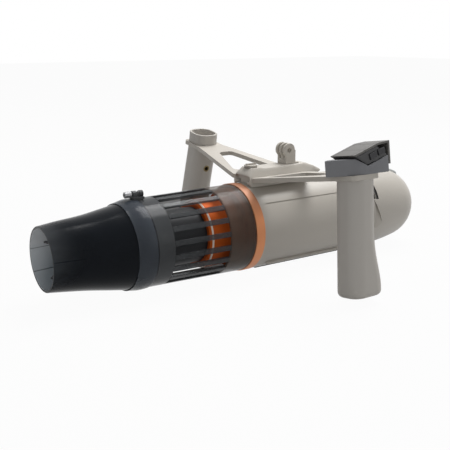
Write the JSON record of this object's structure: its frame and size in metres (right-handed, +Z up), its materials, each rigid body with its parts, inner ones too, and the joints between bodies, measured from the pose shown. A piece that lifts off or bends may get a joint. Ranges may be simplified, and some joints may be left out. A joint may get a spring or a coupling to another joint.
{
  "type": "paddle board motor",
  "caption": "Torpedo-shaped electric motor with a caged propeller and outlet nozzle, and a removable bridge with two hand grips, a camera mount and a remote control.",
  "frame": {"origin": "middle of the footprint, on the ground under the keel strip", "axes": "+X from the water outlet to the nose, +Y to the port grip, +Z up"},
  "size_m": [0.459, 0.3262, 0.1482],
  "materials": {
    "hull_plastic": "satin warm grey",
    "nose_plastic": "satin warm grey",
    "bridge_plastic": "satin warm grey",
    "knob_plastic": "satin warm grey",
    "grip_plastic": "satin mid grey",
    "cradle_plastic": "satin dark grey",
    "remote_plastic": "matte near black",
    "cover_plastic": "satin dark grey",
    "key_rubber": "matte dark grey",
    "copper_metal": "satin copper orange anodised",
    "smoke_plastic": "glossy smoke blue black",
    "band_plastic": "glossy smoke grey",
    "bracket_plastic": "satin near black",
    "propeller_plastic": "glossy near black",
    "bright_steel": "bright turned steel",
    "motor_metal": "satin dark anodised",
    "core_steel": "laminated steel",
    "winding_wire": "varnished wire",
    "seal_rubber": "matte black",
    "keel_rubber": "matte dark grey",
    "latch_plastic": "matte near black",
    "button_rubber": "matte pale blue grey",
    "insert_brass": "turned brass",
    "board_plastic": "potted circuit board",
    "plug_plastic": "matte black",
    "cell_metal": "sleeved metal cells",
    "holder_plastic": "matte black",
    "sleeve_plastic": "matte dark grey"
  },
  "bodies": {
    "root": {"main_housing": "hull_plastic", "keel_strip": "keel_rubber", "skid_ribs": "hull_plastic", "bridge_rail": "hull_plastic", "coupling_ring": "copper_metal", "housing_seal": "seal_rubber", "motor_mount": "copper_metal", "intake_collar": "smoke_plastic", "intake_bars": "smoke_plastic", "intake_hood": "smoke_plastic", "motor_can": "motor_metal", "shaft_seal": "seal_rubber", "rear_bearing": "bright_steel", "front_bearing": "bright_steel", "motor_end_plate": "motor_metal", "stator_core": "core_steel", "stator_windings": "winding_wire", "motor_controller": "board_plastic", "battery_socket": "plug_plastic"},
    "rotor": {"motor_shaft": "bright_steel", "magnet_rotor": "core_steel", "propeller": "propeller_plastic", "propeller_nut": "bright_steel"},
    "nozzle": {"nozzle": "smoke_plastic", "flow_straightener": "propeller_plastic", "clamp_band": "band_plastic", "clamp_bracket": "bracket_plastic"},
    "clamp_screw": {"clamp_screw": "bright_steel"},
    "nose": {"nose_cap": "nose_plastic", "nose_seal": "seal_rubber", "battery_sleeve": "sleeve_plastic", "battery_cells": "cell_metal", "cell_holders": "holder_plastic", "battery_board": "board_plastic", "battery_plug": "plug_plastic"},
    "port_latch": {"port_latch": "latch_plastic"},
    "starboard_latch": {"starboard_latch": "latch_plastic"},
    "power_button": {"power_button": "button_rubber"},
    "bridge": {"bridge_saddle": "bridge_plastic", "port_arm": "bridge_plastic", "starboard_arm": "bridge_plastic", "port_grip": "grip_plastic", "threaded_insert": "insert_brass", "starboard_grip": "grip_plastic", "grip_collar": "grip_plastic", "camera_mount": "bridge_plastic", "remote_cradle": "cradle_plastic"},
    "lock_knob": {"lock_knob": "knob_plastic"},
    "remote": {"remote_body": "remote_plastic", "remote_cover": "cover_plastic"},
    "rear_key": {"rear_key": "key_rubber"},
    "front_key": {"front_key": "key_rubber"}
  },
  "joints": [
    {"name": "propeller_spin", "type": "hinge", "parent": "root", "child": "rotor", "pos_m": [-0.09, 0, 0.0465], "axis": [1, 0, 0], "continuous": true},
    {"name": "nozzle_slide", "type": "slide", "parent": "root", "child": "nozzle", "axis": [-1, 0, 0], "range_m": [0, 0.03]},
    {"name": "clamp_screw_turn", "type": "hinge", "parent": "nozzle", "child": "clamp_screw", "pos_m": [-0.14, 0, 0.0953], "axis": [1, 0, 0], "range_deg": [0, 360]},
    {"name": "nose_slide", "type": "slide", "parent": "root", "child": "nose", "axis": [1, 0, 0], "range_m": [0, 0.125]},
    {"name": "port_latch_press", "type": "slide", "parent": "nose", "child": "port_latch", "axis": [0, -0.8387, -0.5446], "range_m": [0, 0.0015], "stiffness_N_per_m": 900},
    {"name": "starboard_latch_press", "type": "slide", "parent": "nose", "child": "starboard_latch", "axis": [0, 0.8387, -0.5446], "range_m": [0, 0.0015], "stiffness_N_per_m": 900},
    {"name": "power_button_press", "type": "slide", "parent": "nose", "child": "power_button", "axis": [-0.5299, 0, -0.848], "range_m": [0, 0.001], "stiffness_N_per_m": 1500},
    {"name": "bridge_slide", "type": "slide", "parent": "root", "child": "bridge", "axis": [1, 0, 0], "range_m": [0, 0.08]},
    {"name": "lock_knob_turn", "type": "hinge", "parent": "bridge", "child": "lock_knob", "pos_m": [0.00145, 0, 0.108], "axis": [0, 0, 1], "range_deg": [0, 90]},
    {"name": "remote_lift", "type": "slide", "parent": "bridge", "child": "remote", "axis": [0, 0.1575, 0.9875], "range_m": [0, 0.05]},
    {"name": "rear_key_press", "type": "slide", "parent": "remote", "child": "rear_key", "axis": [0, 0.9875, -0.1575], "range_m": [0, 0.0008], "stiffness_N_per_m": 900},
    {"name": "front_key_press", "type": "slide", "parent": "remote", "child": "front_key", "axis": [0, 0.9875, -0.1575], "range_m": [0, 0.0008], "stiffness_N_per_m": 900}
  ]
}
